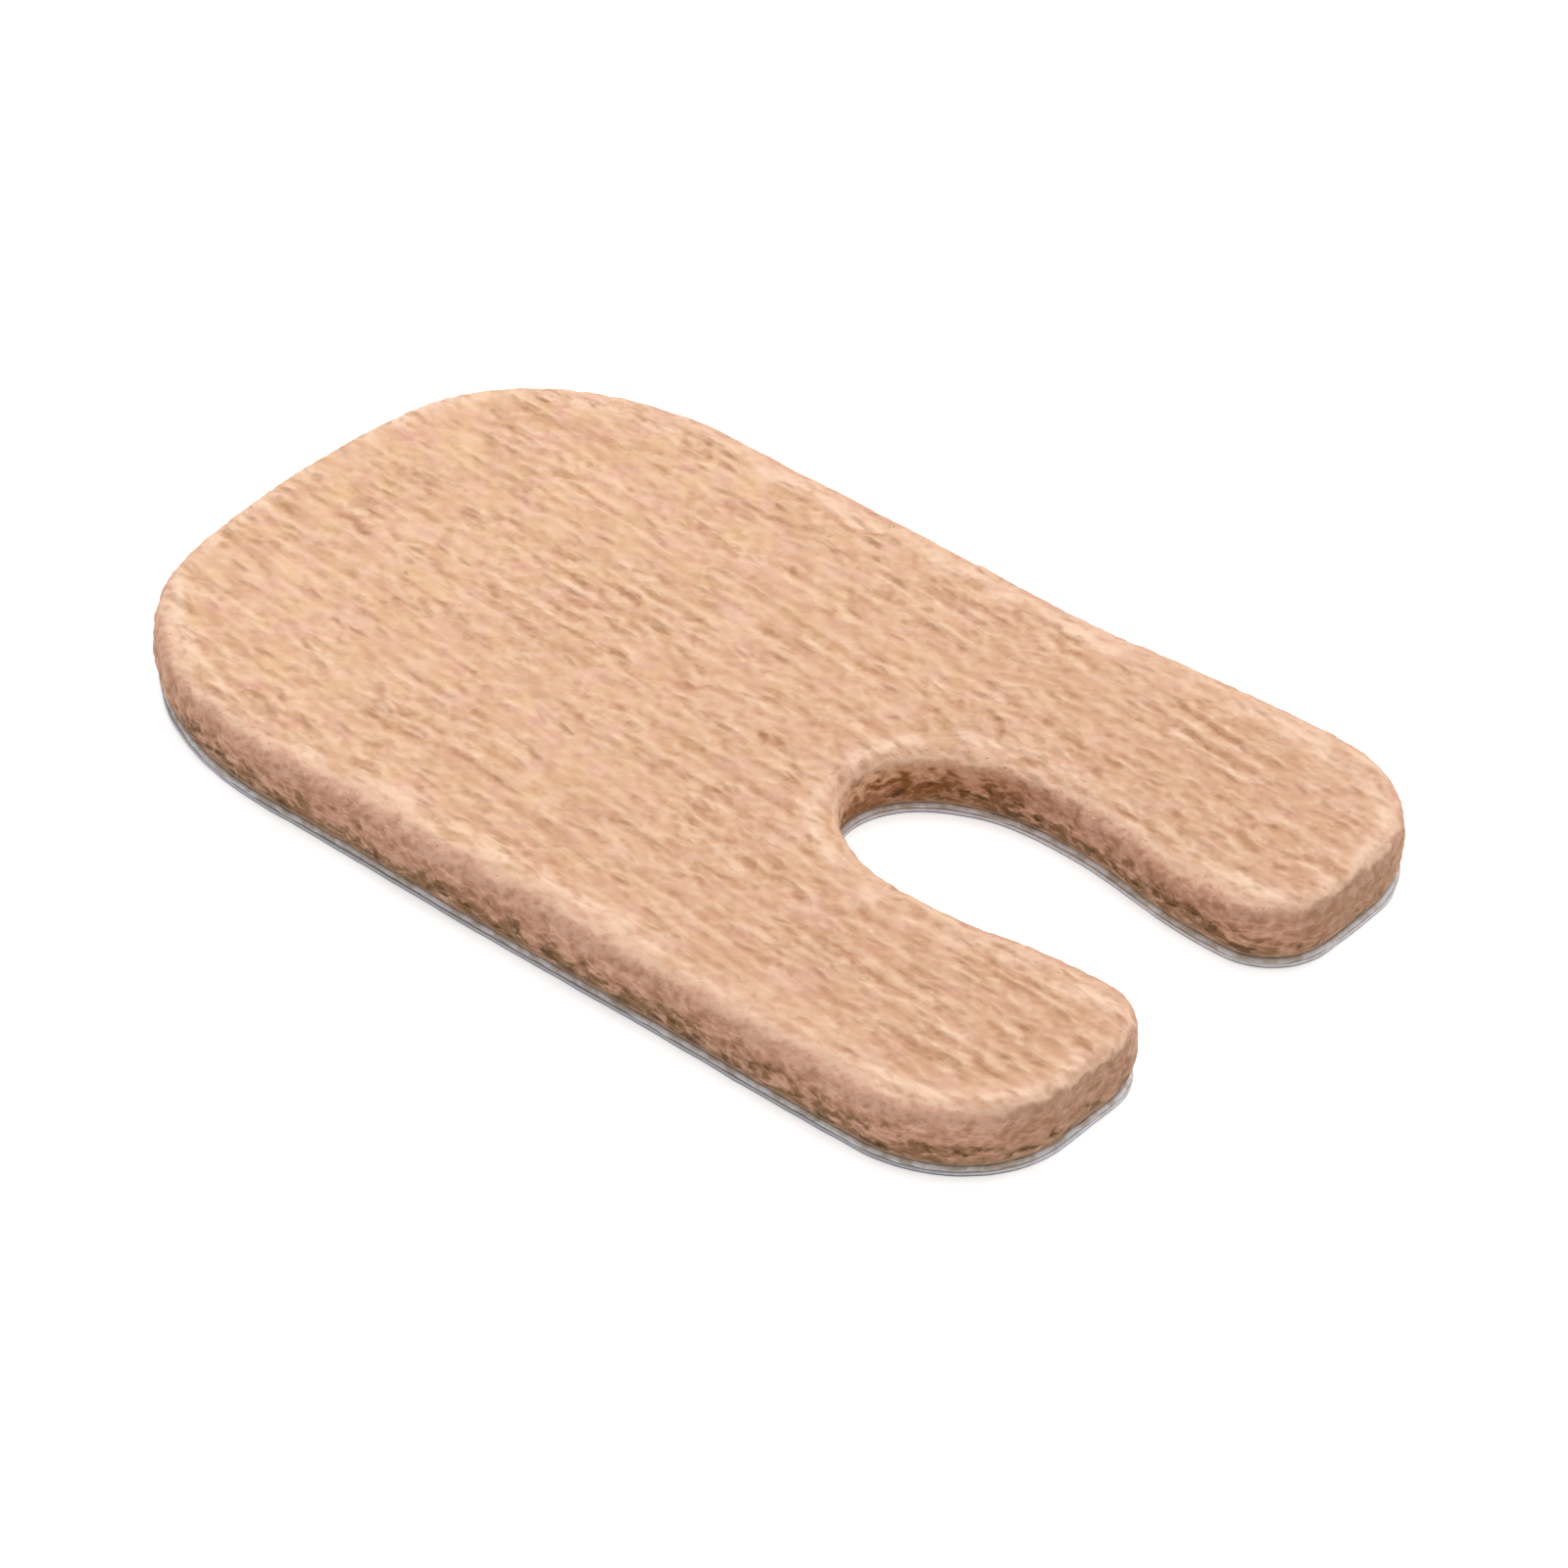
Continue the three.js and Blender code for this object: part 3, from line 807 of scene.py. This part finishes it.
def fibre_piece(name, parts):
    """One mesh of closed spindles from the points of several layings."""
    points = np.vstack([points for points, _ in parts])
    marks = {key: np.concatenate([values[key] for _, values in parts]) for key in parts[0][1]}
    per = FIBRE_RINGS * FIBRE_SIDES
    start = (np.arange(len(points) // per) * per)[:, None]
    ring_at = np.arange(FIBRE_SIDES)
    sides = np.stack([ring_at, ring_at + FIBRE_SIDES,
                      np.roll(ring_at, -1) + FIBRE_SIDES, np.roll(ring_at, -1)], -1)
    one = (np.arange(FIBRE_RINGS - 1)[:, None, None] * FIBRE_SIDES + sides[None]).reshape(-1)
    quads = (start + one).reshape(-1, 4)
    caps = np.vstack([start + ring_at, start + (per - FIBRE_SIDES + ring_at)[::-1]])
    piece = mesh_piece(name, points, [quads, caps], marks)
    piece.data.materials.append(fibre_material)
    return piece


fibre_material, tree, shader, mm = new_material("wool_fibres")
tone = toned(tree, mm)
paler = product(
    tree, ramp(tree, mark(tree, "shade"), 0.2, 1.0, 0.0, 0.4),
    ramp(tree, mark(tree, "cut"), 0.0, 1.0, 1.0, 0.25))
strand = blend(tree, paler, tone["Color"], ridge_highlight_and_pale_fibre)
tree.links.new(strand, shader.inputs["Base Color"])
tree.links.new(ramp(tree, mark(tree, "shade"), 0.0, 1.0, 0.85, 0.65), shader.inputs["Roughness"])
shader.inputs["Sheen Weight"].default_value = 0.2
shader.inputs["Specular IOR Level"].default_value = 0.2

rng = np.random.default_rng(21)
wall_grid = np.swapaxes(wall_points, 0, 1)
wall_marks = {"cut": np.swapaxes(wall_cut, 0, 1), "painted_shade": np.swapaxes(painted_shade, 0, 1)}
fibre_piece("cut_wall_fibres", [
    fibres_on(wall_grid, wall_marks, 1300, (0.3 * MM, 0.8 * MM),
              (0.06 * MM, 0.12 * MM), 40, (0.0 * MM, 0.006 * MM), 0),
    fibres_on(wall_grid, wall_marks, 500, (0.2 * MM, 0.4 * MM),
              (0.012 * MM, 0.018 * MM), 90, (0.01 * MM, 0.05 * MM), 1),
])
lip_grid = wall_grid[:, :LIP_ROWS + 2]
lip_marks = {name: values[:, :LIP_ROWS + 2] for name, values in wall_marks.items()}
fibre_piece("rim_fuzz", [
    fibres_on(lip_grid, lip_marks, 700, (0.2 * MM, 0.5 * MM),
              (0.014 * MM, 0.020 * MM), 40, (0.01 * MM, 0.04 * MM), 1),
])

# Adhesive film
# A film of tacky adhesive that was coated on the felt before it was punched. The die squeezes its
# edge out unevenly, so it shows as a broken line of pale tan between the felt and the liner.
adhesive_low, adhesive_high = (np.array(corner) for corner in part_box("adhesive_film"))
adhesive_setback = 0.26 * MM
adhesive_lean = 0.16 * MM
adhesive_rows = 6
squeezed = soft_noise(31, wall_size, ((1.6 * MM, 4 * MM, 0, 1.0, 0), (0.6 * MM, 4 * MM, 0, 0.7, 0)))


def layer_edge(low, high, setback, lean, count, belly, ragged):
    """Rows of points up the edge of a thin layer: the outline set back, leaning in by lean at the
    top, with a round belly half way up and a ragged amount for each point of the outline."""
    rise = np.linspace(0, 1, count)[:, None]
    back = setback + lean * rise - belly * np.sin(np.pi * rise) - ragged[None]
    xy = ring[None, :, :2] - ring[None, :, 2:4] * back[..., None]
    return np.concatenate([xy, (low + (high - low) * rise + 0 * back)[..., None]], -1)


def closed_layer(name, rows_of_points):
    """A flat closed layer: its edge rows, with one wide face above and one below."""
    rows_here, count = rows_of_points.shape[:2]
    caps = np.vstack([np.arange(count)[::-1], (rows_here - 1) * count + np.arange(count)])
    # the long outer sides, where the liner's edge takes painted shade
    outer_side = np.where(np.abs(ring[:, 1]) < slot_width, 0, ring[:, 3] ** 2)
    sideways = np.tile(outer_side, rows_here)
    faces = [band(rows_here, count), caps]
    return mesh_piece(name, rows_of_points.reshape(-1, 3), faces, {"sideways": sideways})


film = closed_layer("adhesive_layer", layer_edge(
    adhesive_low[2], adhesive_high[2], adhesive_setback, adhesive_lean, adhesive_rows, 0.03 * MM,
    0.02 * MM * np.clip(read_map(squeezed, ring_run, 0 * ring_run), -2, 2)))
adhesive_material, tree, shader, mm = new_material("dull_tan_adhesive")
thin = grouped(tree, cloud, mm, Size=0.8, Contrast=2.0)[0]
tree.links.new(blend(tree, thin, colour(204, 190, 176), colour(238, 235, 236)), shader.inputs["Base Color"])
tree.links.new(ramp(tree, thin, 0.0, 1.0, 0.32, 0.5), shader.inputs["Roughness"])
lumps = put(tree, "ShaderNodeBump", {
    "Height": grouped(tree, cloud, mm, Size=0.4, Contrast=1.0)[0], "Strength": 0.5, "Distance": 0.04 * MM})
tree.links.new(lumps.outputs[0], shader.inputs["Normal"])
film.data.materials.append(adhesive_material)
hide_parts("adhesive_film")

# Release liner
# A sheet of bleached paper with a silicone coat, punched together with the felt. Its pale edge stands a
# little clear of the felt's foot, and the pad lies on it. Its edge is painted darker on the long sides as
# shade, and its lowest edge and underside slate grey as contact shadow.
liner_low, liner_high = (np.array(corner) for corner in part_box("release_liner"))
liner_setback = 0.2 * MM
liner_rows = 5
liner = closed_layer("release_paper", layer_edge(
    liner_low[2], liner_high[2], liner_setback, 0.0, liner_rows, 0.03 * MM,
    0.02 * MM * np.clip(read_map(wandering, ring_run, 2 * MM + 0 * ring_run), -2, 2)))
paper_material, tree, shader, mm = new_material("coated_release_paper")
fleck = grouped(tree, cloud, mm, Size=0.5, Contrast=1.6)[0]
tint = grouped(tree, cloud, mm, Size=6.0, Contrast=1.8)[0]
paper = blend(tree, tint, colour(236, 234, 244), colour(232, 226, 220))
paper = blend(tree, ramp(tree, fleck, 0.3, 1.0, 0.0, 0.4), paper, colour(196, 190, 186))
# painted shade on the liner's edge along the long outer sides
paper = blend(tree, product(tree, mark(tree, "sideways"), 0.75), paper, colour(184, 182, 188))
low = put(tree, "ShaderNodeSeparateXYZ", {0: mm}).outputs["Z"]
# painted contact shadow: slate grey along the lowest edge and the underside
paper = blend(tree, ramp(tree, low, 0.13, 0.08, 0.0, 0.9), paper, colour(92, 94, 108))
tree.links.new(paper, shader.inputs["Base Color"])
tree.links.new(ramp(tree, fleck, 0.0, 1.0, 0.42, 0.55), shader.inputs["Roughness"])
tooth = put(tree, "ShaderNodeBump", {"Height": fleck, "Strength": 0.25, "Distance": 0.02 * MM})
tree.links.new(tooth.outputs[0], shader.inputs["Normal"])
shader.inputs["Coat Weight"].default_value = 0.15
liner.data.materials.append(paper_material)
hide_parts("release_liner")

# Studio
# A plain white table, one wide soft light overhead that leans a little to the pad's far side, and the
# long lens that looks down at the pad from its near prong side.
table_size = 3.0
table = bpy.data.objects.new("table", bpy.data.meshes.new("table"))
table.data.from_pydata(
    [(-table_size, -table_size, 0), (table_size, -table_size, 0), (table_size, table_size, 0),
     (-table_size, table_size, 0)], [], [(0, 1, 2, 3)])
bpy.context.scene.collection.objects.link(table)
table_material, tree, shader, mm = new_material("white_table")
shader.inputs["Base Color"].default_value = (0.92, 0.92, 0.92, 1.0)
shader.inputs["Emission Color"].default_value = (1.0, 1.0, 1.0, 1.0)
shader.inputs["Emission Strength"].default_value = 0.5
shader.inputs["Roughness"].default_value = 0.8
table.data.materials.append(table_material)


def aimed(thing, place, target):
    """Puts a lamp or camera at place, looking at target."""
    thing.location = place
    thing.rotation_mode = "QUATERNION"
    thing.rotation_quaternion = Vector(np.array(place) - np.array(target)).to_track_quat("Z", "Y")
    bpy.context.scene.collection.objects.link(thing)


softbox = bpy.data.lights.new("overhead_softbox", "AREA")
softbox.shape, softbox.size, softbox.energy = "SQUARE", 1.1, 12.5
aimed(bpy.data.objects.new("overhead_softbox", softbox), (-0.15, 0.32, 0.9), (0, 0, 0))

world = bpy.data.worlds.new("pale_room")
world.use_nodes = True
world.node_tree.nodes["Background"].inputs["Color"].default_value = (1.0, 1.0, 1.0, 1.0)
world.node_tree.nodes["Background"].inputs["Strength"].default_value = 0.3
bpy.context.scene.world = world
bpy.context.scene.view_settings.view_transform = "Standard"

camera_azimuth = np.radians(40.9)
camera_elevation = np.radians(38.29)
camera_distance = 418.1 * MM
camera_target = np.array((2.29, 0.68, 0.0)) * MM
back = np.array((
    np.sin(camera_azimuth) * np.cos(camera_elevation),
    -np.cos(camera_azimuth) * np.cos(camera_elevation),
    np.sin(camera_elevation),
))
lens = bpy.data.cameras.new("long_lens")
lens.sensor_width = 36.0
lens.lens = 186.8
lens.clip_start = 0.01
camera = bpy.data.objects.new("camera", lens)
aimed(camera, camera_target + back * camera_distance, camera_target)
bpy.context.scene.camera = camera
